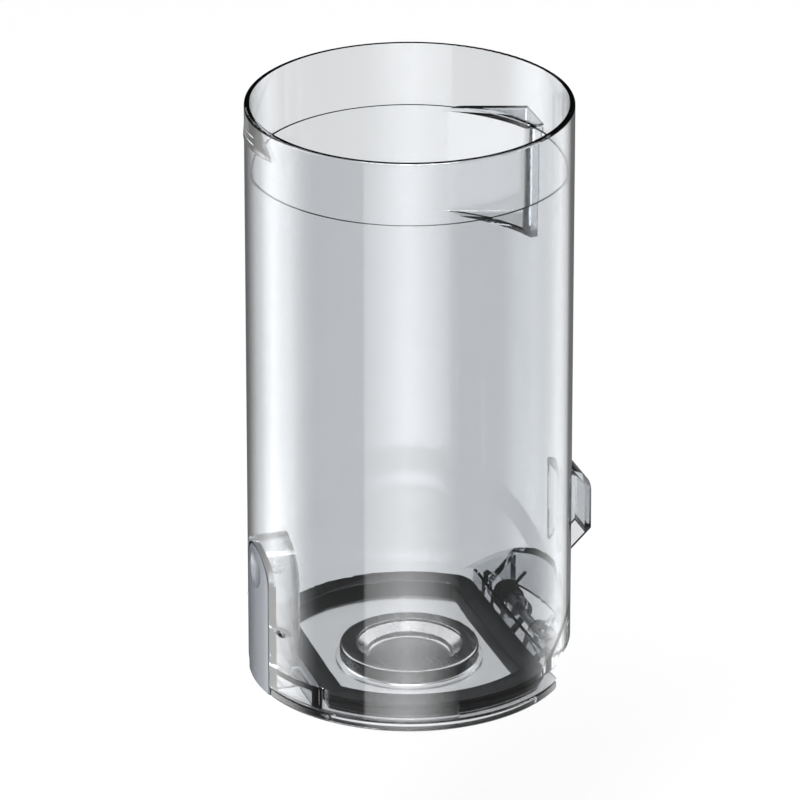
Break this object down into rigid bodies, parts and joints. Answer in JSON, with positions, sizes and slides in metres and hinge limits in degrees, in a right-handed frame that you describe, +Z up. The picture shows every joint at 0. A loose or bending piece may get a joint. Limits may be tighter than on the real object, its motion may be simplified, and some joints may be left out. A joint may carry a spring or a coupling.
{
  "type": "cyclone dust bin",
  "caption": "Clear round dust bin with a rim socket, tangential inlet duct, locking lug, and a hinged, rubber-sealed bottom lid held by a rocker latch button.",
  "frame": {"origin": "centre of the closed lid's underside, on the bin's axis", "axes": "+Z up the bin's axis to the rim, +X to the hinge, locking lug and inlet mouth, -X to the latch button"},
  "size_m": [0.1125, 0.104, 0.195],
  "materials": {
    "clear_plastic": "clear, polished moulding",
    "black_rubber": "smooth black rubber",
    "pin_steel": "ground",
    "black_spring_steel": "black oxide",
    "bright_spring_steel": "drawn wire",
    "button_plastic": "satin moulding"
  },
  "bodies": {
    "bin": {"bin_body": "clear_plastic", "hinge_pin": "pin_steel", "latch_pin": "pin_steel", "hinge_spring": "black_spring_steel", "latch_spring": "bright_spring_steel"},
    "lid": {"lid": "clear_plastic", "lid_seal": "black_rubber", "cone_seal": "black_rubber"},
    "latch": {"latch_button": "button_plastic"}
  },
  "joints": [
    {"name": "lid_hinge", "type": "hinge", "parent": "bin", "child": "lid", "pos_m": [0.0405, 0, 0.0105], "axis": [0, -1, 0], "range_deg": [0, 90], "deforming": ["hinge_spring"]},
    {"name": "latch_press", "type": "hinge", "parent": "bin", "child": "latch", "pos_m": [-0.049, 0, 0.025], "axis": [0, 1, 0], "range_deg": [0, 6], "stiffness_Nm_per_rad": 0.1, "springref_deg": -17.19, "deforming": ["latch_spring"]}
  ]
}
